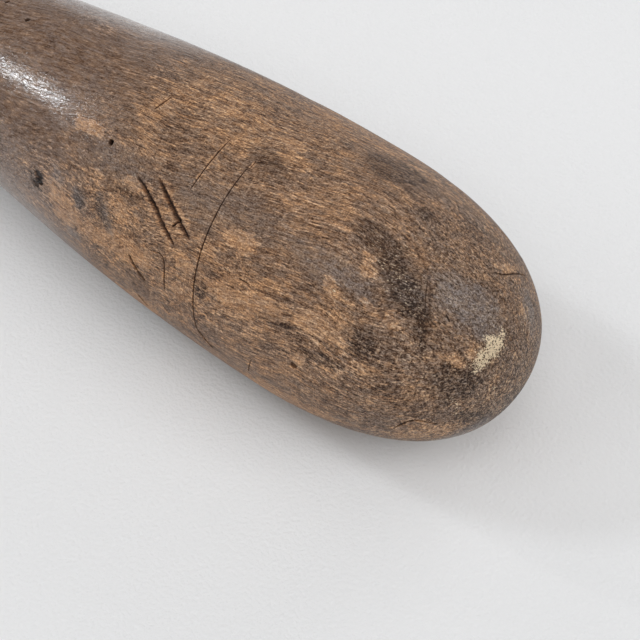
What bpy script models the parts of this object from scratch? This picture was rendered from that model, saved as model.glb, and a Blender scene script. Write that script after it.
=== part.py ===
"""A turned wooden muddler, lying on its side with its head toward +X.

It is one piece of hardwood: an egg-shaped head runs in one long curve into a
slim grip, which swells again into a rounded knob. Metres, +Z up. The origin is
on the surface that the muddler lies on, under the middle of its bounding box.
"""

from math import atan, cos, pi, radians, sin

import bpy
from mathutils import Vector

COLLECTION = "muddler"

# Stations along the turning axis, measured from the tip of the head.
HEAD_WIDEST_AT = 0.050
GRIP_WAIST_AT = 0.225
KNOB_WIDEST_AT = 0.280
LENGTH = 0.300

# Radii at those stations, as turned.
HEAD_RADIUS = 0.029
GRIP_RADIUS = 0.0128
KNOB_RADIUS = 0.0175
BUTT_FLAT_RADIUS = 0.007

# The run of the curves between the stations.
DOME_EXPONENT = 2.33  # superellipse: 2 is an ellipse, more is blunter
BUTT_EXPONENT = 2.2
TAPER_SKEW = 1.06  # above 1, the head stays full for longer

# Wood shrinks more one way than the other as it dries, so the round is slightly
# oval, and the muddler lies on a flatter side.
SHRINKAGE = 0.975

# Fineness of the mesh.
SEGMENTS_AROUND = 48
DOME_STEPS = 18
TAPER_STEPS = 24
SWELL_STEPS = 9
BUTT_STEPS = 7

WOOD_COLOUR = (0.150, 0.088, 0.052, 1.0)
WOOD_ROUGHNESS = 0.52


def superellipse(turn, exponent):
    """Return sine and cosine, raised so that they trace a superellipse."""
    power = 2.0 / exponent
    return max(sin(turn), 0.0) ** power, max(cos(turn), 0.0) ** power


def dome_points():
    """The head from its tip to its widest ring, as (station, radius)."""
    for step in range(DOME_STEPS):
        across, along = superellipse(0.5 * pi * step / DOME_STEPS, DOME_EXPONENT)
        yield HEAD_WIDEST_AT * (1.0 - along), HEAD_RADIUS * across


def blend_points(start_at, start_radius, end_at, end_radius, steps, skew=1.0):
    """A half wave of a cosine from one ring up to, but without, the next."""
    for step in range(steps):
        fraction = step / steps
        wave = 0.5 - 0.5 * cos(pi * fraction ** skew)
        station = start_at + (end_at - start_at) * fraction
        yield station, start_radius + (end_radius - start_radius) * wave


def butt_points():
    """The knob from its widest ring to the rim of the small flat at its end."""
    for step in range(BUTT_STEPS + 1):
        along, across = superellipse(0.5 * pi * step / BUTT_STEPS, BUTT_EXPONENT)
        station = KNOB_WIDEST_AT + (LENGTH - KNOB_WIDEST_AT) * along
        yield station, BUTT_FLAT_RADIUS + (KNOB_RADIUS - BUTT_FLAT_RADIUS) * across


def turned_profile():
    """The whole outline, from the tip of the head to the middle of the butt."""
    taper = (HEAD_WIDEST_AT, HEAD_RADIUS, GRIP_WAIST_AT, GRIP_RADIUS)
    swell = (GRIP_WAIST_AT, GRIP_RADIUS, KNOB_WIDEST_AT, KNOB_RADIUS)
    return [
        *dome_points(),
        *blend_points(*taper, TAPER_STEPS, TAPER_SKEW),
        *blend_points(*swell, SWELL_STEPS),
        *butt_points(),
        (LENGTH, 0.0),
    ]


def turn(name, profile, collection):
    """Spin a profile of (station, radius) about local Z, with the tip at the top."""
    points = [(radius, 0.0, -station) for station, radius in profile]
    edges = [(index, index + 1) for index in range(len(points) - 1)]
    outline = bpy.data.meshes.new(f"{name}_outline")
    outline.from_pydata(points, edges, [])

    blank = bpy.data.objects.new(f"{name}_blank", outline)
    collection.objects.link(blank)
    lathe = blank.modifiers.new("lathe", "SCREW")
    lathe.axis = "Z"
    lathe.steps = SEGMENTS_AROUND
    lathe.render_steps = SEGMENTS_AROUND
    lathe.use_merge_vertices = True
    lathe.merge_threshold = 0.00001

    evaluated = blank.evaluated_get(bpy.context.evaluated_depsgraph_get())
    mesh = bpy.data.meshes.new_from_object(evaluated)
    mesh.name = name
    mesh.shade_smooth()
    mesh.set_sharp_from_angle(angle=radians(40.0))
    piece = bpy.data.objects.new(name, mesh)
    collection.objects.link(piece)
    bpy.data.objects.remove(blank)
    return piece


def resting_tilt(profile):
    """The slope of the line that touches the head and the knob from outside."""
    head = [point for point in profile if point[0] < GRIP_WAIST_AT]
    knob = [point for point in profile if point[0] > GRIP_WAIST_AT]
    slope = min(
        max((knob_radius - radius) / (knob_at - at) for knob_at, knob_radius in knob)
        for at, radius in head
    )
    return atan(-SHRINKAGE * slope)


def lay_down(piece, tilt):
    """Lay the piece on z = 0, on its head and its knob, with the head to +X."""
    piece.scale = (SHRINKAGE, 1.0, 1.0)
    piece.rotation_euler = (0.0, 0.5 * pi - tilt, 0.0)
    bpy.context.view_layer.update()

    points = [piece.matrix_world @ vertex.co for vertex in piece.data.vertices]
    low = Vector(min(point[axis] for point in points) for axis in range(3))
    high = Vector(max(point[axis] for point in points) for axis in range(3))
    middle = 0.5 * (low + high)
    piece.location -= Vector((middle.x, middle.y, low.z))


def wood(name):
    """Old hardwood, handled smooth and never varnished."""
    material = bpy.data.materials.new(name)
    material.use_nodes = True
    shader = material.node_tree.nodes["Principled BSDF"]
    shader.inputs["Base Color"].default_value = WOOD_COLOUR
    shader.inputs["Roughness"].default_value = WOOD_ROUGHNESS
    shader.inputs["Metallic"].default_value = 0.0
    return material


def main():
    for leftover in list(bpy.data.objects):
        bpy.data.objects.remove(leftover)
    collection = bpy.data.collections.new(COLLECTION)
    bpy.context.scene.collection.children.link(collection)

    profile = turned_profile()
    muddler = turn("muddler_body", profile, collection)
    muddler.data.materials.append(wood("worn_wood"))
    lay_down(muddler, resting_tilt(profile))
    bpy.context.view_layer.update()


main()
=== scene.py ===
"""The looks of an old, hand-turned wooden muddler, built round its CAD frame.

Lengths here are millimetres, and turn into metres where the mesh is written.
A place on the wood is (along, round): millimetres over the surface from the
tip of the head, and degrees round the axis from the top, positive towards the
front, which is the -Y side.
"""

from math import atan, cos, pi, radians, sin
from types import SimpleNamespace
from typing import NamedTuple

import bmesh
import bpy
import numpy as np
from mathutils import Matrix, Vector, noise


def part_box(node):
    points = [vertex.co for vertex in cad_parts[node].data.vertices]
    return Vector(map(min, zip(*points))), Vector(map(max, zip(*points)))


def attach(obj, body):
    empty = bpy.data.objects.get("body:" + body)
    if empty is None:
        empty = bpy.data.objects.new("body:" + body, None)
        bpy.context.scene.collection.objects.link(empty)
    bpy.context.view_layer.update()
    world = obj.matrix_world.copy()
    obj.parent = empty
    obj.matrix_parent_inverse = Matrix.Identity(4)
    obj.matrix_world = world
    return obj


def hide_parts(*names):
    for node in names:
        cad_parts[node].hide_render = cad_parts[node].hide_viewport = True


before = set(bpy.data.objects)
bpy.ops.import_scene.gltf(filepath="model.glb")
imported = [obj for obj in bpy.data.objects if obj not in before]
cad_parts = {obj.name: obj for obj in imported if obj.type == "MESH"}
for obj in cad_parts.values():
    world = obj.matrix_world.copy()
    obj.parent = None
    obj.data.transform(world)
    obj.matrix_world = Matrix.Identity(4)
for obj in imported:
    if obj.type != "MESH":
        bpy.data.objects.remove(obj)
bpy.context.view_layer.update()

NODE = "muddler_body"
MM = 0.001

# The turned shape, as the CAD has it: stations from the tip, and radii.
HEAD_AT, WAIST_AT, KNOB_AT, LENGTH = 50.0, 225.0, 280.0, 300.0
HEAD_RADIUS, GRIP_RADIUS, KNOB_RADIUS, BUTT_RADIUS = 29.0, 12.8, 17.5, 7.0
DOME_POWER, BUTT_POWER, TAPER_SKEW = 2.33, 2.2, 1.06
OVAL = 0.975

OUTLINE_STEPS = 4000

# The mesh: its pitch, and how much finer it gets near cuts, in two rounds.
ROW_PITCH = 1.1
COLUMNS = 180
NEAR_CUTS, CLOSE_TO_CUTS = 1.6, 0.55
NEAR_SPLITS, CLOSE_SPLITS = 3, 2

# How far the lists of marks below reach. Beyond that, the marks are random.
LISTED_ALONG = 150.0
LISTED_ROUND = (-50.0, 105.0)
MARKS_SEED, KINDS_SEED = 5, 11


class Cut(NamedTuple):
    """A groove along a route: a knife cut, a scratch or a drying crack."""

    width: float
    depth: float
    # How dark the groove is inside: dirt in it, together with painted shade.
    dirt_and_shade: float
    rubbed: float
    route: tuple


class Pit(NamedTuple):
    """A hollow with steep walls, such as a beetle's exit hole."""

    along: float
    round: float
    radius: float
    stretch: float
    depth: float


class Patch(NamedTuple):
    """A soft-edged patch of one kind of surface, or a dent as deep as its strength."""

    along: float
    round: float
    half_length: float
    half_width: float
    lean: float
    strength: float


CUTS = (
    # Two deep knife cuts side by side, and the nick that joins them.
    Cut(1.5, 0.8, 0.85, 0.9, ((99, 40), (93, 46), (87, 54), (83.5, 58))),
    Cut(1.5, 0.8, 0.85, 0.9, ((94, 36), (87.5, 44), (80.5, 52))),
    Cut(0.8, 0.6, 1.0, 0.4, ((84.5, 46), (86, 51))),
    # One long fine cut right round the front.
    Cut(0.45, 0.35, 1.0, 0.4, ((78, 9), (78, 30), (77.5, 50), (76.5, 72), (75, 93), (72, 100))),
    Cut(0.8, 0.4, 1.0, 0.3, ((75, 92), (71.5, 101))),
    # Fine cuts and scratches between the grip and the head.
    Cut(0.45, 0.3, 0.9, 0.9, ((85.5, 6), (86, 35))),
    Cut(1.1, 0.6, 1.0, 0.5, ((95, 75), (92, 81), (89.5, 84))),
    Cut(1.1, 0.6, 1.0, 0.3, ((93, 99), (91, 106))),
    Cut(0.45, 0.3, 0.9, 0.5, ((89.5, 66), (85.5, 66), (84, 82))),
    Cut(0.35, 0.25, 0.7, 0.3, ((85.5, 91), (83, 97))),
    Cut(0.35, 0.16, 0.3, 1.0, ((71.5, 40), (68, 48), (62.5, 52))),
    Cut(0.35, 0.25, 0.9, 0.3, ((67, 54), (64, 54))),
    Cut(0.35, 0.3, 0.9, 0.6, ((60.5, 89), (62, 101))),
    Cut(0.5, 0.3, 0.9, 1.0, ((104.5, 12), (103.5, 2))),
    Cut(0.3, 0.2, 0.7, 0.9, ((77.5, 14), (77.5, 9))),
    # Drying cracks and a chip line on the head.
    Cut(0.4, 0.5, 1.0, 0.3, ((25, -20), (23.5, -29), (22.5, -52))),
    Cut(0.6, 0.5, 1.0, 0.9, ((28.5, 102), (24, 91), (19, 96))),
    Cut(0.45, 0.3, 1.0, 0.0, ((26, 20), (24.5, 22))),
    # Growth rings that stand open on the head, as ridges and cracks across it.
    Cut(1.7, 0.15, 0.3, 0.2, ((44, 1), (36, 6), (30.5, 18), (26, 42))),
    Cut(0.35, 0.3, 0.6, 0.0, ((33.5, 10), (30, 24))),
    Cut(1.5, 0.12, 0.25, 0.3, ((42.5, 20), (35, 27), (30, 28))),
    Cut(1.4, 0.12, 0.25, 0.5, ((41.5, 33), (36, 37), (31.5, 45))),
    Cut(1.6, 0.12, 0.25, 0.4, ((32, 47), (30.5, 62))),
    Cut(1.2, 0.1, 0.2, 0.3, ((23.5, -14), (18, -14))),
    Cut(1.2, 0.1, 0.2, 0.8, ((17.5, -34), (13, -36), (9, -27))),
)

PITS = (
    Pit(108.5, 34, 0.62, 1.0, 1.8),
    Pit(147.5, -1, 0.55, 1.0, 1.6),
    Pit(156, -7, 0.55, 1.0, 1.6),
    Pit(123.5, 69, 0.75, 1.7, 0.4),
    Pit(123, 72, 0.7, 1.6, 0.5),
    Pit(124, 75, 0.6, 1.5, 0.3),
    Pit(50, 78, 0.7, 1.3, 0.25),
)

WEAR = (
    # Broad half-worn zones, one of them a painted highlight along the upper back rim, then scuffs one by
    # one from the grip to the head.
    Patch(92, 68, 36, 10, 0, 0.46),
    Patch(52, 64, 18, 8, 0, 0.48),
    Patch(76, 30, 8, 4, -10, 0.3),
    # A pale band along the upper back rim, put in as wear: a painted highlight for the back light's
    # grazing reflection.
    Patch(64, -42, 22, 5, 2, 0.45),
    Patch(45, 18, 1.2, 0.8, 0, 1.0),
    Patch(44, 23, 0.8, 0.8, 0, 1.0),
    Patch(35, 36, 1.5, 0.9, -60, 1.0),
    Patch(17, 31, 1.2, 0.9, 0, 0.9),
    Patch(42, 50, 2.5, 0.8, -25, 0.8),
    Patch(13, -33, 4, 0.7, 10, 0.8),
    Patch(114, 72, 1.6, 1.1, -50, 1.0),
    Patch(99, 58, 2.5, 1, -50, 1.0),
    Patch(104, 7, 2.5, 0.7, 0, 1.0),
    Patch(98, 44, 2.5, 0.9, -10, 1.0),
    Patch(115, 33, 3.5, 1.2, 5, 1.0),
    Patch(116, 76, 4, 3, -55, 0.9),
    Patch(100, 59, 4, 2, 5, 0.6),
    Patch(107, 78, 7, 2.5, 0, 0.7),
    Patch(95, 74, 6, 2.5, 5, 1.0),
    Patch(92, 56, 4.5, 2, -30, 0.4),
    Patch(80, 62, 2, 1.5, 0, 1.0),
    Patch(80, 77, 2.5, 1.5, 0, 0.9),
    Patch(73, 72, 5, 4, 0, 0.4),
    Patch(70, 40, 3.5, 2, 0, 0.8),
    Patch(66, 63, 9, 1.5, 5, 0.9),
    Patch(59, 58, 5, 1.2, 0, 0.8),
    Patch(47, 54, 5.5, 2.5, 0, 0.8),
    Patch(49, 74, 2, 1, 0, 0.8),
    Patch(48, 37, 2, 1, -25, 0.9),
    Patch(44, 24, 2, 1, 0, 0.8),
    Patch(39, 37, 2.5, 0.7, -20, 0.9),
    Patch(34, 38, 1.5, 1, -15, 1.0),
    Patch(90, -6, 2.5, 1, -5, 0.9),
    Patch(75, -6, 2.5, 1, 0, 1.0),
    Patch(81, 10, 1, 0.7, -15, 0.9),
    Patch(60, -39, 5.5, 5, 10, 0.5),
    Patch(101, -3, 12, 6, -5, 0.45),
    Patch(82, -4, 13.5, 5, 0, 0.4),
    Patch(59, 7, 10, 6.5, 0, 0.35),
    Patch(19, 40, 2, 1, -20, 0.9),
    Patch(25, -32, 3, 1, 70, 0.8),
    Patch(20, -35, 3, 1.5, -15, 0.4),
    Patch(131, -20, 4, 2.5, 0, 0.4),
)

GRIME = (
    Patch(124, 72, 2, 2, -50, 1.0),
    Patch(111, 66, 2, 1.5, -40, 0.8),
    Patch(104, 64, 3.5, 1.5, -50, 0.7),
    Patch(99, 50, 4.5, 1.5, 10, 0.6),
    Patch(93, 88, 4, 3.5, 0, 0.5),
    Patch(75, 68, 1.5, 1.5, -5, 1.0),
    Patch(55, -26, 6, 3.5, 20, 0.9),
    Patch(43, -14, 1.5, 1.5, -5, 0.9),
    Patch(46, 10, 5.5, 2.5, -10, 0.6),
    Patch(36, 20, 9, 2.5, -30, 0.7),
    Patch(38, 52, 3.5, 2.5, -15, 0.7),
    Patch(44, 68, 5, 1, 5, 0.7),
    Patch(57, 62, 5.5, 1, 10, 0.7),
    Patch(17, 56, 4, 3, 0, 1.0),
    Patch(18, 71, 1.5, 1, -40, 0.8),
    Patch(13, 94, 2, 1, -50, 0.9),
    Patch(76, 6, 3.5, 2, 0, 0.5),
    Patch(29, 31, 4, 0.7, -55, 0.8),
)

FILM = (
    Patch(118, 62, 2, 1, -50, 0.9),
    Patch(111, 66, 2.2, 1.2, -50, 1.0),
    Patch(103, 64, 3.5, 1.1, -50, 1.0),
    Patch(112, 88, 2, 1, 0, 0.8),
    Patch(74, 30, 7.5, 3.5, 0, 0.35),
    Patch(104, 40, 7, 3, 5, 0.5),
    Patch(83, 35, 6, 3, -15, 0.4),
    Patch(47, 30, 6.5, 2, -5, 0.6),
    Patch(55, 33, 5, 1.2, -20, 0.6),
    Patch(33, 20, 7, 2.5, 10, 0.4),
    Patch(24, 7, 6.5, 3.5, 10, 1.0),
    Patch(20, 9, 5, 2.5, 10, 0.9),
    Patch(15, -41, 3.5, 2, 5, 0.8),
)

PALE = (
    Patch(47, 38, 0.4, 0.3, 0, 1.0),
    Patch(16, 48, 0.3, 0.3, 0, 1.0),
    Patch(15, 46, 0.3, 0.3, 0, 1.0),
    Patch(8, 58, 0.3, 0.3, 0, 1.0),
    Patch(15, 86, 0.4, 0.3, 0, 1.0),
    Patch(14, 21, 4, 2, 85, 0.85),
    Patch(14, 31, 2, 1, 90, 0.8),
    Patch(16, 73, 1.5, 0.6, -55, 0.5),
    Patch(38, 20, 8, 3, -25, 0.22),
    Patch(31, 50, 5, 3, 0, 0.2),
)


# The turned surface


def outline():
    """The outline, densely: stations, radii and lengths over the surface."""
    turn = np.linspace(0.0, pi / 2, OUTLINE_STEPS)
    dome_power, butt_power = 2 / DOME_POWER, 2 / BUTT_POWER
    part = np.linspace(0.0, 1.0, OUTLINE_STEPS)[1:]
    knob_end = np.cos(turn[1:]).clip(0, 1) ** butt_power
    flat = np.linspace(BUTT_RADIUS, 0.0, 200)[1:]
    stations = np.concatenate([
        HEAD_AT * (1 - np.cos(turn).clip(0, 1) ** dome_power),
        HEAD_AT + (WAIST_AT - HEAD_AT) * part,
        WAIST_AT + (KNOB_AT - WAIST_AT) * part,
        KNOB_AT + (LENGTH - KNOB_AT) * np.sin(turn[1:]) ** butt_power,
        np.full(len(flat), LENGTH),
    ])
    radii = np.concatenate([
        HEAD_RADIUS * np.sin(turn) ** dome_power,
        HEAD_RADIUS + (GRIP_RADIUS - HEAD_RADIUS) * half_wave(part ** TAPER_SKEW),
        GRIP_RADIUS + (KNOB_RADIUS - GRIP_RADIUS) * half_wave(part),
        BUTT_RADIUS + (KNOB_RADIUS - BUTT_RADIUS) * knob_end,
        flat,
    ])
    steps = np.hypot(np.diff(stations), np.diff(radii))
    return stations, radii, np.concatenate([[0.0], np.cumsum(steps)])


def half_wave(fraction):
    """A smooth rise from 0 to 1."""
    return 0.5 - 0.5 * np.cos(pi * fraction)


STATIONS, RADII, OVER = outline()
WHOLE = OVER[-1]


def surface(over, turn):
    """Points of the smooth surface in the wood's own axes: station, front, up."""
    station = np.interp(over, OVER, STATIONS)
    radius = np.interp(over, OVER, RADII)
    return np.stack([station, radius * np.sin(turn), OVAL * radius * np.cos(turn)], axis=-1)


def normals(over, turn):
    """Outward unit normals of the smooth surface."""
    step = 0.3
    before = np.clip(over - step, 0.0, WHOLE)
    after = np.clip(over + step, 0.0, WHOLE)
    run = np.interp(after, OVER, STATIONS) - np.interp(before, OVER, STATIONS)
    rise = np.interp(after, OVER, RADII) - np.interp(before, OVER, RADII)
    out = np.stack([-rise, run * np.sin(turn), run * np.cos(turn) / OVAL], axis=-1)
    return out / np.linalg.norm(out, axis=-1, keepdims=True)


def place(point):
    """A point in the wood's axes for one (along, round) place."""
    return surface(np.float64(point[0]), np.radians(point[1]))


def resting_tilt():
    """The slope of the line under the head and the knob, as in the CAD."""
    head = (STATIONS < WAIST_AT) & (STATIONS > HEAD_AT)
    knob = STATIONS > WAIST_AT
    thinned = slice(None, None, 40)
    rise = RADII[knob][None, thinned] - RADII[head][thinned, None]
    slopes = rise / (STATIONS[knob][None, thinned] - STATIONS[head][thinned, None])
    return atan(-OVAL * slopes.max(axis=1).min())


def to_world():
    """What takes the wood's axes in mm to the frame in metres: a matrix and the tip's place."""
    tilt = resting_tilt()
    axes = np.array([
        (-cos(tilt), 0.0, -sin(tilt)),
        (0.0, -1.0, 0.0),
        (-sin(tilt), 0.0, cos(tilt)),
    ]).T
    over, turn = np.meshgrid(np.linspace(0, WHOLE, 900), np.radians(np.arange(-180, 180, 2)))
    points = surface(over.ravel(), turn.ravel()) @ axes.T * MM
    _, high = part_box(NODE)
    tip = np.array([high.x, 0.0, 0.0]) - np.array([points[:, 0].max(), 0.0, points[:, 2].min()])
    return axes * MM, tip


# Features


def spline(route, pitch=0.25):
    """A smooth line of even points over the surface, through the places of a route."""
    knots = np.array(route, float)
    walk = np.linspace(0, len(knots) - 1, 40 * len(knots))
    padded = np.concatenate([[2 * knots[0] - knots[1]], knots, [2 * knots[-1] - knots[-2]]])
    span = np.minimum(walk.astype(int), len(knots) - 2)
    part = (walk - span)[:, None]
    p0, p1, p2, p3 = (padded[span + shift] for shift in range(4))
    bend = 2 * p0 - 5 * p1 + 4 * p2 - p3
    twist = 3 * p1 - p0 - 3 * p2 + p3
    places = 0.5 * (2 * p1 + (p2 - p0) * part + bend * part ** 2 + twist * part ** 3)
    points = surface(places[:, 0], np.radians(places[:, 1]))
    lengths = np.concatenate([[0.0], np.cumsum(np.linalg.norm(np.diff(points, axis=0), axis=1))])
    even = np.linspace(0.0, lengths[-1], max(3, int(lengths[-1] / pitch)))
    return np.stack([np.interp(even, lengths, points[:, axis]) for axis in range(3)], axis=-1)


def distance_to(points, line):
    """Each point's distance to a line, and how far along the line it is, 0 to 1."""
    best = np.full(len(points), np.inf)
    where = np.zeros(len(points))
    for index in range(len(line) - 1):
        start, step = line[index], line[index + 1] - line[index]
        part = np.clip((points - start) @ step / (step @ step), 0.0, 1.0)
        gap = np.linalg.norm(points - start - part[:, None] * step, axis=1)
        closer = gap < best
        best[closer] = gap[closer]
        where[closer] = (index + part[closer]) / (len(line) - 1)
    return best, where


def near(points, line, margin):
    """The points inside the line's box, grown by a margin."""
    low, high = line.min(axis=0) - margin, line.max(axis=0) + margin
    return np.flatnonzero(((points > low) & (points < high)).all(axis=1))


def groove(points, cut):
    """Height, dirt with painted shade inside the groove, and rubbed edges that a cut gives to points of
    the smooth surface.
    """
    end_share, narrowest = 0.22, 0.35
    line = spline(cut.route)
    chosen = near(points, line, 2.0 * cut.width + 0.5)
    gap, part = distance_to(points[chosen], line)
    taper = np.clip(np.minimum(part, 1 - part) / end_share, 0.0, 1.0) ** 0.7
    taper *= 0.8 + 0.45 * ripple(points[chosen], 1.1, 6)
    ragged = 1.0 + 0.5 * ripple(points[chosen], 0.4, 7)
    half = 0.5 * cut.width * (narrowest + (1 - narrowest) * taper) * ragged
    inside = np.clip(1 - gap / half, 0.0, 1.0)
    lip = np.exp(-(((gap - 1.35 * half) / (0.5 * half)) ** 2)) * taper
    height = -cut.depth * taper * inside ** 0.8 + 0.07 * cut.width * lip
    # Darkness inside the groove, strongest at its middle: dirt together with painted shade.
    dirt_and_shade = cut.dirt_and_shade * np.clip(1.15 - gap / half, 0.0, 1.0) * np.clip(2.5 * taper, 0.0, 1.0)
    rubbed = cut.rubbed * np.exp(-(((gap - 1.5 * half) / (0.3 + 0.8 * half)) ** 2)) * taper
    return chosen, height, dirt_and_shade, rubbed


def hollow(points, pit):
    """Height, and dirt with painted shade inside the hollow, that a pit gives to points of the smooth
    surface.
    """
    centre = place((pit.along, pit.round))
    reach = 2.0 * pit.radius * pit.stretch
    chosen = near(points, centre[None, :], reach)
    along, across = split(points[chosen], pit, 0.0)
    gap = np.hypot(along / pit.stretch, across) / pit.radius
    gap += 0.35 * ripple(points[chosen], 0.8, 8)
    rim = np.clip((1.15 - gap) / 0.35, 0.0, 1.0)
    # The hollow is darkened inside: dirt together with painted shade.
    dirt_and_shade = min(1.0, 0.45 + pit.depth) * np.clip(1.4 * rim, 0.0, 1.0)
    return chosen, -pit.depth * rim * rim * (3 - 2 * rim), dirt_and_shade


def split(points, spot, lean):
    """Distances along and across the grain from a spot, turned by a lean."""
    centre = place((spot.along, spot.round))
    with_grain = place((spot.along + 0.2, spot.round)) - centre
    over_grain = place((spot.along, spot.round + 0.5)) - centre
    with_grain /= np.linalg.norm(with_grain)
    over_grain -= with_grain * (over_grain @ with_grain)
    over_grain /= np.linalg.norm(over_grain)
    away = points - centre
    along, across = away @ with_grain, away @ over_grain
    turn = radians(lean)
    return along * cos(turn) + across * sin(turn), across * cos(turn) - along * sin(turn)


def patch_mask(points, outward, patches, ragged):
    """How much each point belongs to any patch of one kind, 0 to 1."""
    mask = np.zeros(len(points))
    for patch in patches:
        along, across = split(points, patch, patch.lean)
        facing = outward @ outward_at(patch)
        gap = np.hypot(along / patch.half_length, across / patch.half_width)
        soft = np.clip(1.75 - gap - 0.5 * ragged, 0.0, 1.0)
        soft = soft * soft * (3 - 2 * soft) * (facing > 0.2)
        mask = np.maximum(mask, patch.strength * soft)
    return mask


def outward_at(patch):
    """The outward normal at the middle of a patch."""
    return normals(np.float64(patch.along), np.radians(patch.round))


def ripple(points, size, seed):
    """Smooth noise over the points, about -1 to 1, with features of a size."""
    shift = Vector((seed * 17.3, seed * 5.1, seed * 9.7))
    return np.array([noise.noise(Vector(point) / size + shift) for point in points])


def worn_elsewhere(rng, count, lengths, widths, strengths):
    """Patches where the lists have none, their sizes and strengths between limits."""
    patches = []
    while len(patches) < count:
        along = rng.uniform(6.0, WHOLE - 15.0)
        around = rng.uniform(-180.0, 180.0)
        if along < LISTED_ALONG and LISTED_ROUND[0] < around < LISTED_ROUND[1]:
            continue
        length, width = rng.uniform(*lengths), rng.uniform(*widths)
        lean, strength = rng.normal(0.0, 12.0), rng.uniform(*strengths)
        patches.append(Patch(along, around, length, width, lean, strength))
    return tuple(patches)


def cuts_elsewhere(rng, count):
    """Short knife cuts and scratches on the back and the underside."""
    cuts = []
    while len(cuts) < count:
        along = rng.uniform(25.0, 190.0)
        around = rng.uniform(110.0, 305.0)
        around = around - 360.0 if around > 180.0 else around
        length = rng.uniform(2.0, 9.0)
        slope = rng.normal(75.0, 25.0)
        radius = np.interp(along, OVER, RADII)
        steps = np.linspace(-0.5, 0.5, 4)
        bend = rng.normal(0.0, 0.8)
        route = tuple(
            (
                along + length * step * cos(radians(slope)) + bend * step * step,
                around + np.degrees(length * step * sin(radians(slope)) / radius),
            )
            for step in steps
        )
        if max(abs(angle) for _, angle in route) > 176.0:
            continue
        width = rng.uniform(0.25, 0.6)
        cuts.append(Cut(width, 0.7 * width, rng.uniform(0.6, 1.0), rng.uniform(0.1, 0.8), route))
    return tuple(cuts)


# The mesh


def turned_grid():
    """The smooth blank: rings of points over the outline, with a point at each end."""
    rows = int(WHOLE / ROW_PITCH)
    overs = np.linspace(0.0, WHOLE, rows + 1)[1:-1]
    turns = np.radians(np.arange(COLUMNS) * 360.0 / COLUMNS - 180.0)
    over = np.concatenate([np.repeat(overs, COLUMNS), [0.0, WHOLE]])
    turn = np.concatenate([np.tile(turns, len(overs)), [0.0, 0.0]])
    faces = []
    for row in range(len(overs) - 1):
        for column in range(COLUMNS):
            beside = (column + 1) % COLUMNS
            here, below = row * COLUMNS, (row + 1) * COLUMNS
            faces.append((here + column, here + beside, below + beside, below + column))
    tip, butt = len(overs) * COLUMNS, len(overs) * COLUMNS + 1
    last = (len(overs) - 1) * COLUMNS
    for column in range(COLUMNS):
        beside = (column + 1) % COLUMNS
        faces.append((tip, beside, column))
        faces.append((butt, last + column, last + beside))
    return over, turn, faces


def refine(grid, lines, pits, reach, splits):
    """Splits the faces within reach of a cut or a pit."""
    over_layer = grid.verts.layers.float["over"]
    turn_layer = grid.verts.layers.float["turn"]
    grid.faces.ensure_lookup_table()
    over = np.array([np.mean([v[over_layer] for v in face.verts]) for face in grid.faces])
    turn = np.array([np.mean([v[turn_layer] for v in face.verts]) for face in grid.faces])
    spread = np.array([np.ptp([v[turn_layer] for v in face.verts]) for face in grid.faces])
    centres = surface(over, turn)
    wanted = np.zeros(len(centres), bool)
    for line in lines:
        chosen = near(centres, line, reach + 0.5)
        gap, _ = distance_to(centres[chosen], line)
        wanted[chosen[gap < reach]] = True
    for pit in pits:
        gap = np.linalg.norm(centres - place((pit.along, pit.round)), axis=1)
        wanted |= gap < reach + pit.radius * pit.stretch
    # The faces across the underside, where the angle jumps by a whole turn, stay whole.
    wanted &= spread < pi
    edges = {edge for index in np.flatnonzero(wanted) for edge in grid.faces[index].edges}
    bmesh.ops.subdivide_edges(grid, edges=list(edges), cuts=splits, use_grid_fill=True)


def body_mesh(cuts, pits):
    """The smooth surface, finer near cuts and pits, with each point's place stored."""
    over, turn, faces = turned_grid()
    mesh = bpy.data.meshes.new("muddler")
    mesh.from_pydata(surface(over, turn).tolist(), [], faces)
    for name, values in (("over", over), ("turn", turn)):
        mesh.attributes.new(name, "FLOAT", "POINT").data.foreach_set("value", values)
    grid = bmesh.new()
    grid.from_mesh(mesh)
    lines = [spline(cut.route) for cut in cuts]
    refine(grid, lines, pits, NEAR_CUTS, NEAR_SPLITS)
    refine(grid, lines, pits, CLOSE_TO_CUTS, CLOSE_SPLITS)
    grid.to_mesh(mesh)
    grid.free()
    return mesh


def read(mesh, name):
    """A number that the mesh stores at each point."""
    values = np.empty(len(mesh.vertices), np.float32)
    mesh.attributes[name].data.foreach_get("value", values)
    return values.astype(float)


def unevenness(points, outward, dents):
    """Height over the smooth surface: slow waves, small ones and dents, nearly all inwards."""
    height = 0.10 * ripple(points * (0.5, 1.0, 1.0), 17.0, 1) - 0.10
    height += 0.035 * ripple(points * (0.35, 1.0, 1.0), 4.5, 2)
    for dent in dents:
        along, across = split(points, dent, dent.lean)
        gap = np.hypot(along / dent.half_length, across / dent.half_width)
        facing = outward @ outward_at(dent) > 0.3
        height -= dent.strength * np.exp(-gap ** 2) * facing
    return height


def hand_polish(over, turn):
    """How polished by hands each point is: from the neck on, less at the knob and underneath."""
    neck, fade_in = 104.0, 22.0
    gone_by, fade_out, least = 335.0, 40.0, 0.4
    top, spread = 5.0, 260.0
    polish = np.clip((over - neck) / fade_in, 0.0, 1.0)
    polish *= np.clip((gone_by - over) / fade_out, least, 1.0)
    return polish * np.clip(1.15 - np.abs(np.degrees(turn) - top) / spread, 0.0, 1.0)


def end_grain(over, outward):
    """How far each point shows the ends of the fibres: mostly over the head's dome."""
    dome_edge, fade = 58.0, 25.0
    on_dome = 0.6 * np.clip((dome_edge - over) / fade, 0.0, 1.0)
    return np.maximum(np.abs(outward[:, 0]) ** 1.5, on_dome)


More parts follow.
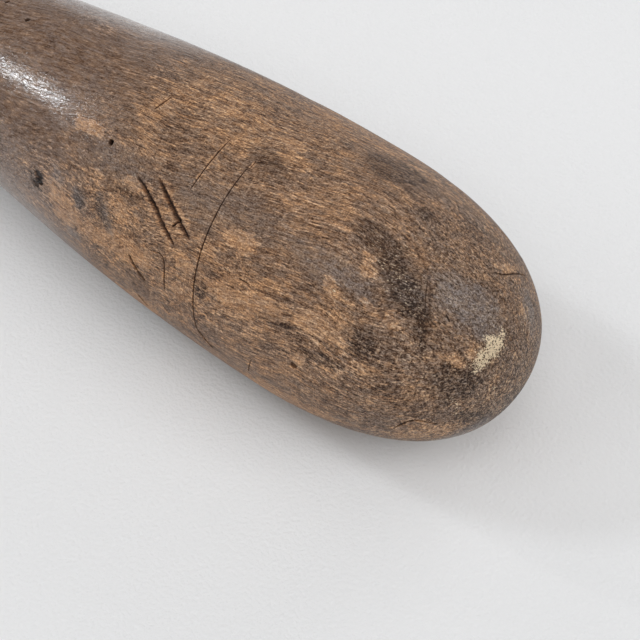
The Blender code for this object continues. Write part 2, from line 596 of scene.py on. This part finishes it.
def carve(mesh, cuts, pits, dents):
    """Moves every point to its worn place, and stores what its surface is like."""
    over, turn = read(mesh, "over"), read(mesh, "turn")
    points, outward = surface(over, turn), normals(over, turn)
    height = unevenness(points, outward, dents)

    dirt_and_shade, rubbed = np.zeros(len(points)), np.zeros(len(points))
    for cut in cuts:
        chosen, carved, dark, light = groove(points, cut)
        height[chosen] += carved
        dirt_and_shade[chosen] = np.maximum(dirt_and_shade[chosen], dark)
        rubbed[chosen] = np.maximum(rubbed[chosen], light)
    for pit in pits:
        chosen, carved, dark = hollow(points, pit)
        height[chosen] += carved
        dirt_and_shade[chosen] = np.maximum(dirt_and_shade[chosen], dark)

    rng = np.random.default_rng(KINDS_SEED)
    more_wear = worn_elsewhere(rng, 46, (3.0, 12.0), (1.2, 4.0), (0.4, 1.0))
    more_grime = worn_elsewhere(rng, 30, (3.0, 10.0), (1.5, 5.0), (0.4, 0.9))
    more_film = worn_elsewhere(rng, 16, (6.0, 16.0), (3.0, 7.0), (0.4, 0.8))
    ragged = ripple(points * (0.6, 1.0, 1.0), 1.7, 3) + 0.6 * ripple(points, 0.7, 4)
    kinds = {
        "wear": np.maximum(patch_mask(points, outward, WEAR + more_wear, ragged), 0.9 * rubbed),
        "grime": patch_mask(points, outward, GRIME + more_grime, ragged),
        "film": patch_mask(points, outward, FILM + more_film, ragged),
        "pale": patch_mask(points, outward, PALE, ragged),
        "polish": hand_polish(over, turn),
        # Cuts and pits are darkened inside: dirt together with painted shade.
        "dirt_and_shade": dirt_and_shade,
        "end_grain": end_grain(over, outward),
    }
    for name, values in kinds.items():
        mesh.attributes.new(name, "FLOAT", "POINT").data.foreach_set("value", values)
    wood = mesh.attributes.new("wood", "FLOAT_VECTOR", "POINT")
    wood.data.foreach_set("vector", points.ravel())

    axes, tip = to_world()
    placed = (points + outward * height[:, None]) @ axes.T + tip
    mesh.vertices.foreach_set("co", placed.ravel())
    unwrap(mesh, over, np.degrees(turn))
    mesh.update()


def unwrap(mesh, over, turn):
    """One map of the whole surface: along its length, and round it from below.

    A face across the underside has its angles carried past half a turn, so that
    it stays in one piece. The point at each end takes its faces' own angles.
    """
    corners = np.empty(len(mesh.loops), int)
    mesh.loops.foreach_get("vertex_index", corners)
    starts = np.empty(len(mesh.polygons), int)
    sizes = np.empty(len(mesh.polygons), int)
    mesh.polygons.foreach_get("loop_start", starts)
    mesh.polygons.foreach_get("loop_total", sizes)
    face = np.repeat(np.arange(len(starts)), sizes)
    across, along = turn[corners], over[corners]
    end = (along <= 0.0) | (along >= WHOLE - 1e-6)
    highest = np.maximum.reduceat(np.where(end, -999.0, across), starts)[face]
    across = np.where((highest > 90.0) & (across < -90.0), across + 360.0, across)
    rim = np.add.reduceat(np.where(end, 0.0, across), starts) / np.add.reduceat(~end, starts)
    across = np.where(end, rim[face], across)
    layer = mesh.uv_layers.new(name="OFBake")
    places = np.stack([along / WHOLE, (across + 180.0) / 360.0], axis=-1)
    layer.data.foreach_set("uv", places.ravel())


# Materials


class Shader:
    """A small helper that adds and joins the nodes of one material."""

    def __init__(self, name):
        self.material = bpy.data.materials.new(name)
        self.material.use_nodes = True
        self.tree = self.material.node_tree
        self.surface = self.tree.nodes["Principled BSDF"]

    def add(self, kind, inputs=(), **settings):
        node = self.tree.nodes.new("ShaderNode" + kind)
        for name, value in settings.items():
            setattr(node, name, value)
        for key, value in dict(inputs).items():
            self.feed(node.inputs[key], value)
        return node

    def feed(self, socket, value):
        if isinstance(value, bpy.types.NodeSocket):
            self.tree.links.new(value, socket)
        else:
            socket.default_value = value

    def attribute(self, name):
        """What the mesh stores under a name."""
        node = self.add("Attribute", attribute_name=name)
        return node.outputs["Vector" if name == "wood" else "Fac"]

    def math(self, operation, first, second=0.0, third=0.0):
        node = self.add("Math", {0: first, 1: second, 2: third}, operation=operation)
        return node.outputs[0]

    def total(self, *terms):
        """The sum of value times factor over (value, factor) pairs, plus plain numbers."""
        result = 0.0
        for term in terms:
            if isinstance(term, tuple):
                result = self.math("MULTIPLY_ADD", term[0], term[1], result)
            else:
                result = self.math("ADD", result, term)
        return result

    def ramp(self, value, low, high):
        """0 at low and 1 at high, smoothly. The low end may be the larger number."""
        inputs = {"Value": value, "From Min": low, "From Max": high}
        return self.add("MapRange", inputs, interpolation_type="SMOOTHSTEP").outputs[0]

    def thin_lines(self, value, width):
        """1 along the lines where a noise passes its middle, 0 away from them."""
        return self.ramp(self.math("ABSOLUTE", self.total((value, 1.0), -0.5)), width, 0.0)

    def mix(self, factor, first, second, blend="MIX"):
        node = self.add("Mix", data_type="RGBA", blend_type=blend)
        self.feed(node.inputs["Factor"], factor)
        self.feed(node.inputs[6], first)
        self.feed(node.inputs[7], second)
        return node.outputs[2]

    def colours(self, value, stops):
        """A colour scale: (position, colour) pairs from dark to light."""
        node = self.add("ValToRGB", {"Fac": value})
        scale = node.color_ramp.elements
        scale[0].position, scale[0].color = stops[0]
        scale[1].position, scale[1].color = stops[-1]
        for position, colour in stops[1:-1]:
            scale.new(position).color = colour
        return node.outputs[0]

    def grain(self, at, along, across, detail, roughness, shift, distortion=0.0):
        """Noise with cells of a length along the grain and a width across it."""
        return self.stretched(at, (along, across, across), detail, roughness, shift, distortion)

    def stretched(self, at, cells, detail, roughness, shift, distortion):
        """Noise with cells of three sizes in mm, moved by a shift so that no two match."""
        scale = tuple(1.0 / cell for cell in cells)
        away = (shift, 0.7 * shift, 1.3 * shift)
        moved = self.add("Mapping", {"Vector": at, "Location": away, "Scale": scale})
        inputs = {
            "Vector": moved.outputs[0], "Scale": 1.0, "Detail": detail,
            "Roughness": roughness, "Distortion": distortion,
        }
        return self.add("TexNoise", inputs).outputs[0]


def srgb(red, green, blue):
    """A colour given as 0 to 255 in sRGB, as linear numbers with alpha."""
    return tuple((part / 255.0) ** 2.2 for part in (red, green, blue)) + (1.0,)


def surface_kinds(wood):
    """The kinds of surface that the mesh stores at each point."""
    names = ("wear", "grime", "film", "polish", "pale", "dirt_and_shade", "end_grain")
    return SimpleNamespace(**{name: wood.attribute(name) for name in names})


def grain_noises(wood):
    """Noises along the grain, which runs a little across the billet and wanders."""
    billet = wood.attribute("wood")
    leaning = {"Vector": billet, "Rotation": (0.0, 0.0, radians(-9.0))}
    at = wood.add("Mapping", leaning).outputs[0]
    wander = wood.add("TexNoise", {"Vector": billet, "Scale": 0.035, "Detail": 1.0}).outputs["Color"]
    sway = {0: wander, 1: (0.0, 7.0, 7.0), 2: at}
    at = wood.add("VectorMath", sway, operation="MULTIPLY_ADD").outputs[0]

    grain = SimpleNamespace(
        fibre=wood.grain(at, 7.0, 0.65, 4.0, 0.6, 3.0, 0.4),
        fleck=wood.grain(at, 3.0, 0.42, 2.0, 0.6, 11.0, 0.5),
        fine=wood.grain(at, 1.3, 0.26, 2.0, 0.65, 23.0, 0.3),
        pore=wood.grain(at, 2.6, 0.34, 1.0, 0.5, 53.0, 0.4),
        speck=wood.grain(at, 0.38, 0.3, 1.0, 0.6, 31.0),
        crumb=wood.grain(at, 0.7, 0.55, 3.0, 0.75, 37.0, 0.5),
        blotch=wood.grain(at, 9.0, 4.0, 4.0, 0.6, 41.0, 0.5),
        scratch=wood.grain(at, 0.3, 4.0, 2.0, 0.6, 67.0, 0.8),
        seam=wood.grain(at, 15.0, 0.9, 3.0, 0.6, 71.0, 0.5),
        hue=wood.grain(at, 2.0, 0.7, 4.0, 0.7, 113.0, 0.5),
        polish_wave=wood.grain(at, 1.8, 1.1, 3.0, 0.6, 97.0),
        ring=wood.stretched(at, (70.0, 1.6, 22.0), 3.0, 0.55, 83.0, 0.3),
    )
    # Light flecks, dark dashes, and thin dark lines: growth rings and long grain lines.
    grain.flecks = wood.ramp(grain.fleck, 0.54, 0.64)
    grain.dashes = wood.ramp(grain.pore, 0.54, 0.64)
    grain.rings = wood.thin_lines(grain.ring, 0.04)
    grain.seams = wood.thin_lines(grain.seam, 0.03)
    return grain


def wear_signs(wood, kind, grain):
    """Bare wood, scuffs, rubbed and caked places, and loose crumbs of surface."""
    streaky = wood.total(
        (grain.fibre, 0.8), (grain.fleck, 0.8), (grain.fine, 0.5), (grain.blotch, 0.65),
        (kind.wear, 0.3), (kind.grime, -0.5), (kind.film, -0.45), (kind.polish, -0.2),
    )
    scuffed = wood.total(
        (kind.wear, 1.0), (grain.fibre, 0.9), (grain.fleck, 0.5), (grain.fine, 0.5),
        (grain.crumb, 0.5), -1.2,
    )
    rubbed = wood.total((grain.scratch, 1.0), (grain.blotch, 0.35), (kind.polish, -0.1))
    dirty = wood.total((kind.grime, 1.0), (grain.fibre, 0.8), (grain.speck, 0.4), (grain.crumb, 0.4), -0.8)
    scuffs = wood.ramp(scuffed, 0.44, 0.58)
    crumbs = wood.total((wood.ramp(grain.crumb, 0.38, 0.62), 1.0), -0.5)
    crumbly = wood.total((kind.end_grain, 0.6), (kind.grime, 0.2), 0.03)
    return SimpleNamespace(
        bare=wood.math("MAXIMUM", wood.ramp(streaky, 1.31, 1.73), scuffs),
        scuffs=scuffs,
        rub=wood.ramp(rubbed, 0.76, 0.88),
        caked=wood.ramp(dirty, 0.35, 0.62),
        loose=wood.math("MULTIPLY", crumbly, crumbs),
    )


def wood_tone(wood, kind, grain, sign):
    """How light the wood is: streaks, which film and polish calm, and finer specks."""
    streaks = wood.total(
        (grain.fibre, 0.5), (grain.fine, 1.0), (grain.scratch, 0.2), (grain.flecks, 0.12),
        (grain.dashes, -0.13), (grain.rings, -0.12), (grain.seams, -0.1), -0.85,
    )
    calm = wood.total((kind.film, -0.5), (kind.polish, -0.35), 1.0)
    unpolished = wood.total((kind.polish, -0.7), 0.85)
    specks = wood.math("MULTIPLY", unpolished, wood.total((grain.speck, 1.0), -0.5))
    long_grain = wood.math("MULTIPLY", kind.polish, wood.total((grain.fibre, 1.0), -0.5))
    return wood.total(
        (wood.math("MULTIPLY", streaks, calm), 1.0), (sign.loose, 1.0), (specks, 1.0),
        (long_grain, 0.5), (grain.blotch, 0.2), (sign.bare, 0.15), (sign.scuffs, 0.08),
        (sign.rub, 0.09), (sign.caked, -0.16), (kind.film, 0.01), (kind.polish, -0.02), 0.35,
    )


def wood_colour(wood, kind, grain, sign):
    """Brown from dark to light, tinted by what lies on it, with deposits on top, and dirt with painted
    shade in cuts and pits.
    """
    colour = wood.colours(wood_tone(wood, kind, grain, sign), (
        (0.0, srgb(46, 28, 17)),
        (0.2, srgb(86, 61, 43)),
        (0.4, srgb(122, 96, 77)),
        (0.6, srgb(152, 124, 101)),
        (0.8, srgb(184, 152, 124)),
        (1.0, srgb(226, 195, 162)),
    ))
    warmth = wood.ramp(wood.total((grain.hue, 1.0), (grain.blotch, 0.5)), 0.6, 0.9)
    cool_or_warm = wood.mix(warmth, (0.92, 0.985, 1.10, 1.0), (1.07, 1.0, 0.90, 1.0))
    # Dirt together with painted shade in cuts and pits, broken up by noise.
    stain_and_shade = wood.total((kind.dirt_and_shade, 1.0), (grain.fine, 0.8), (grain.crumb, 0.4), -0.6)
    tints = (
        (1.0, cool_or_warm),
        (sign.bare, (1.07, 0.95, 0.82, 1.0)),
        (kind.film, (0.82, 0.96, 1.18, 1.0)),
        (kind.polish, (0.92, 0.98, 1.11, 1.0)),
        (kind.end_grain, (0.90, 0.97, 1.06, 1.0)),
        (sign.caked, (0.92, 0.97, 1.03, 1.0)),
    )
    for amount, tint in tints:
        colour = wood.mix(amount, colour, tint, "MULTIPLY")
    cream = wood.ramp(wood.total((kind.pale, 0.6), (grain.speck, 1.0), (grain.crumb, 1.2)), 1.43, 1.62)
    colour = wood.mix(cream, colour, srgb(232, 210, 176))
    # In cuts and pits the wood goes darker, and nearly black-brown at the middle: dirt with painted shade.
    colour = wood.mix(wood.ramp(stain_and_shade, 0.05, 0.5), colour, (0.42, 0.34, 0.29, 1.0), "MULTIPLY")
    return wood.mix(wood.ramp(stain_and_shade, 0.55, 0.95), colour, srgb(34, 22, 15))


def wood_relief(wood, kind, grain, sign):
    """The finest relief. Polish fills the grain, and leaves soft waves of its own."""
    relief = wood.total(
        (grain.fibre, 0.5), (grain.fine, 0.4), (grain.speck, 0.3), (sign.loose, 1.2),
        (grain.flecks, 0.12), (grain.dashes, -0.2), (grain.seams, -0.25), (grain.rings, -0.2),
        (sign.bare, -0.12),
    )
    open_grain = wood.total((kind.film, -0.6), (kind.polish, -0.85), 1.0)
    relief = wood.math("MULTIPLY", relief, open_grain)
    relief = wood.total((relief, 1.0), (grain.polish_wave, 0.2), (grain.speck, 0.08))
    return wood.add("Bump", {"Height": relief, "Strength": 0.8, "Distance": 0.0002}).outputs[0]


def worn_wood():
    """Dark hand-polished hardwood, worn through to orange wood along its grain."""
    wood = Shader("worn_wood")
    kind = surface_kinds(wood)
    grain = grain_noises(wood)
    sign = wear_signs(wood, kind, grain)
    relief = wood_relief(wood, kind, grain, sign)
    rough = wood.total(
        (kind.polish, -0.2), (kind.film, -0.1), (sign.bare, 0.12), (kind.dirt_and_shade, 0.25),
        (grain.speck, 0.16), 0.38,
    )
    # The polish shines in specks, and evenly underneath.
    specks = wood.ramp(wood.total((grain.crumb, 1.0), (grain.fine, 0.4)), 0.62, 0.78)
    shine = wood.math("MULTIPLY", kind.polish, wood.total((specks, 0.75), 0.25))

    wood.feed(wood.surface.inputs["Base Color"], wood_colour(wood, kind, grain, sign))
    wood.feed(wood.surface.inputs["Roughness"], rough)
    wood.feed(wood.surface.inputs["Normal"], relief)
    wood.feed(wood.surface.inputs["Coat Weight"], wood.total((shine, 1.0), (kind.film, 0.15)))
    wood.feed(wood.surface.inputs["Coat Normal"], relief)
    wood.surface.inputs["Coat Roughness"].default_value = 0.06
    wood.surface.inputs["Sheen Weight"].default_value = 0.04
    wood.surface.inputs["Sheen Roughness"].default_value = 0.5
    wood.surface.inputs["Specular IOR Level"].default_value = 0.2
    return wood.material


def paper():
    """Plain pale paper with the slightest tooth."""
    sheet = Shader("pale_paper")
    at = sheet.add("TexCoord").outputs["Object"]
    tooth = sheet.add("TexNoise", {"Vector": at, "Scale": 1100.0, "Detail": 3.0}).outputs[0]
    bump = sheet.add("Bump", {"Height": tooth, "Strength": 0.6, "Distance": 0.0004})
    sheet.surface.inputs["Base Color"].default_value = (0.80, 0.80, 0.805, 1.0)
    sheet.surface.inputs["Roughness"].default_value = 0.9
    sheet.surface.inputs["Specular IOR Level"].default_value = 0.2
    sheet.feed(sheet.surface.inputs["Normal"], bump.outputs[0])
    return sheet.material


# The studio

LIT_SPOT = Vector((0.1, 0.0, 0.0))
LIGHT_DISTANCE = 1.5
WHITE, COOL_WHITE = (1.0, 1.0, 1.0), (0.9, 0.96, 1.0)
BACKDROP_LIGHT, BACKDROP_SEEN = 0.14, 0.78
FLOOR_HALF_SIZE = 3.0

# Where the camera stands from its target, in degrees and metres, and how wide it sees.
CAMERA_TARGET = Vector((0.1085, -0.0119, 0.029))
CAMERA_BEARING, CAMERA_HEIGHT, CAMERA_DISTANCE = 39.4, 54.0, 0.4988
CAMERA_ANGLE = 15.0


def add_object(name, data):
    """A new object in the scene."""
    item = bpy.data.objects.new(name, data)
    bpy.context.scene.collection.objects.link(item)
    return item


def aim(item, at, towards):
    """Puts a lamp or a camera at a place, looking towards another."""
    item.location = at
    item.rotation_euler = (Vector(towards) - Vector(at)).to_track_quat("-Z", "Y").to_euler()


def floor():
    """A sheet of pale paper far wider than the view."""
    size = FLOOR_HALF_SIZE
    mesh = bpy.data.meshes.new("floor")
    corners = [(-size, -size, 0.0), (size, -size, 0.0), (size, size, 0.0), (-size, size, 0.0)]
    mesh.from_pydata(corners, [], [(0, 1, 2, 3)])
    mesh.materials.append(paper())
    ground = add_object("floor", mesh)


def softbox(name, bearing, height, size, power, colour=WHITE, lights_up=True, mirrored=True):
    """A round softbox at a bearing from +X and a height over the floor, in degrees.

    It is a sun as wide, and as bright on the muddler, as a softbox of that size
    and power at LIGHT_DISTANCE, so that it lights the far floor as evenly as the
    near. One that doesn't light things up shows in gloss only, and one that isn't
    mirrored shows in no gloss.
    """
    lamp = bpy.data.lights.new(name, "SUN")
    lamp.color = colour
    lamp.angle = 2 * atan(0.5 * size / LIGHT_DISTANCE)
    lamp.energy = power / (pi * (LIGHT_DISTANCE ** 2 + 0.25 * size ** 2))
    turn, rise = radians(bearing), radians(height)
    away = Vector((cos(turn) * cos(rise), sin(turn) * cos(rise), sin(rise)))
    box = add_object(name, lamp)
    box.visible_diffuse = lights_up
    box.visible_glossy = mirrored
    aim(box, LIT_SPOT + LIGHT_DISTANCE * away, LIT_SPOT)


def backdrop():
    """An even white surround, which the camera sees brighter than it lights."""
    world = bpy.data.worlds.new("studio")
    bpy.context.scene.world = world
    world.use_nodes = True
    nodes, links = world.node_tree.nodes, world.node_tree.links
    background = nodes["Background"]
    background.inputs["Color"].default_value = (*WHITE, 1.0)
    seen = nodes.new("ShaderNodeLightPath")
    strength = nodes.new("ShaderNodeMath")
    strength.operation = "MULTIPLY_ADD"
    strength.inputs[1].default_value = BACKDROP_SEEN - BACKDROP_LIGHT
    strength.inputs[2].default_value = BACKDROP_LIGHT
    links.new(seen.outputs["Is Camera Ray"], strength.inputs[0])
    links.new(strength.outputs[0], background.inputs["Strength"])


def low_lamp():
    """A weak, low, small lamp from the hand end, which draws the shadow's edge."""
    lamp = bpy.data.lights.new("low_lamp", "SUN")
    lamp.energy = 0.18
    lamp.angle = radians(1.5)
    aim(add_object("low_lamp", lamp), (-0.974, -0.225, 0.466), (0.0, 0.0, 0.0))


def lights():
    """The softboxes round the muddler. The key's gloss is left to the sparkle lamp."""
    softbox("above", 0, 90, 1.2, 2.8)
    softbox("key", 203, 45, 0.27, 3.1, COOL_WHITE, mirrored=False)
    softbox("sparkle", 201, 34, 0.2, 3.0, COOL_WHITE, lights_up=False)
    softbox("front_right", 317, 60, 1.1, 8.1)
    softbox("right", 10, 42, 0.9, 6.2)
    softbox("back", 95, 25, 0.9, 3.7)
    softbox("back_left", 160, 25, 0.9, 2.7, mirrored=False)
    softbox("front_left", 243, 45, 0.9, 3.2)
    low_lamp()


def camera():
    """The camera, looking down at the head from the front right."""
    turn, rise = radians(CAMERA_BEARING), radians(CAMERA_HEIGHT)
    away = Vector((sin(turn) * cos(rise), -cos(turn) * cos(rise), sin(rise)))
    lens = bpy.data.cameras.new("camera")
    lens.angle = radians(CAMERA_ANGLE)
    lens.clip_start = 0.01
    view = add_object("camera", lens)
    aim(view, CAMERA_TARGET + CAMERA_DISTANCE * away, CAMERA_TARGET)
    bpy.context.scene.camera = view


def small_dents(rng, count):
    """Small shallow dents over the side that the lists cover."""
    return tuple(
        Patch(
            rng.uniform(8, 150), rng.uniform(-60, 110), rng.uniform(1.5, 5),
            rng.uniform(1, 3.5), rng.normal(0, 30), rng.uniform(0.04, 0.14),
        )
        for _ in range(count)
    )


def build_muddler():
    """The muddler, in place of its CAD node."""
    rng = np.random.default_rng(MARKS_SEED)
    cuts = CUTS + cuts_elsewhere(rng, 16)
    dents = worn_elsewhere(rng, 24, (1.5, 6.0), (1.0, 4.0), (0.05, 0.22))
    dents += small_dents(rng, 30)
    mesh = body_mesh(cuts, PITS)
    carve(mesh, cuts, PITS, dents)
    mesh.shade_smooth()
    mesh.materials.append(worn_wood())
    muddler = add_object("muddler", mesh)
    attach(muddler, "root")
    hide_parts(NODE)


build_muddler()
floor()
backdrop()
lights()
camera()
bpy.context.scene.view_settings.view_transform = "Standard"
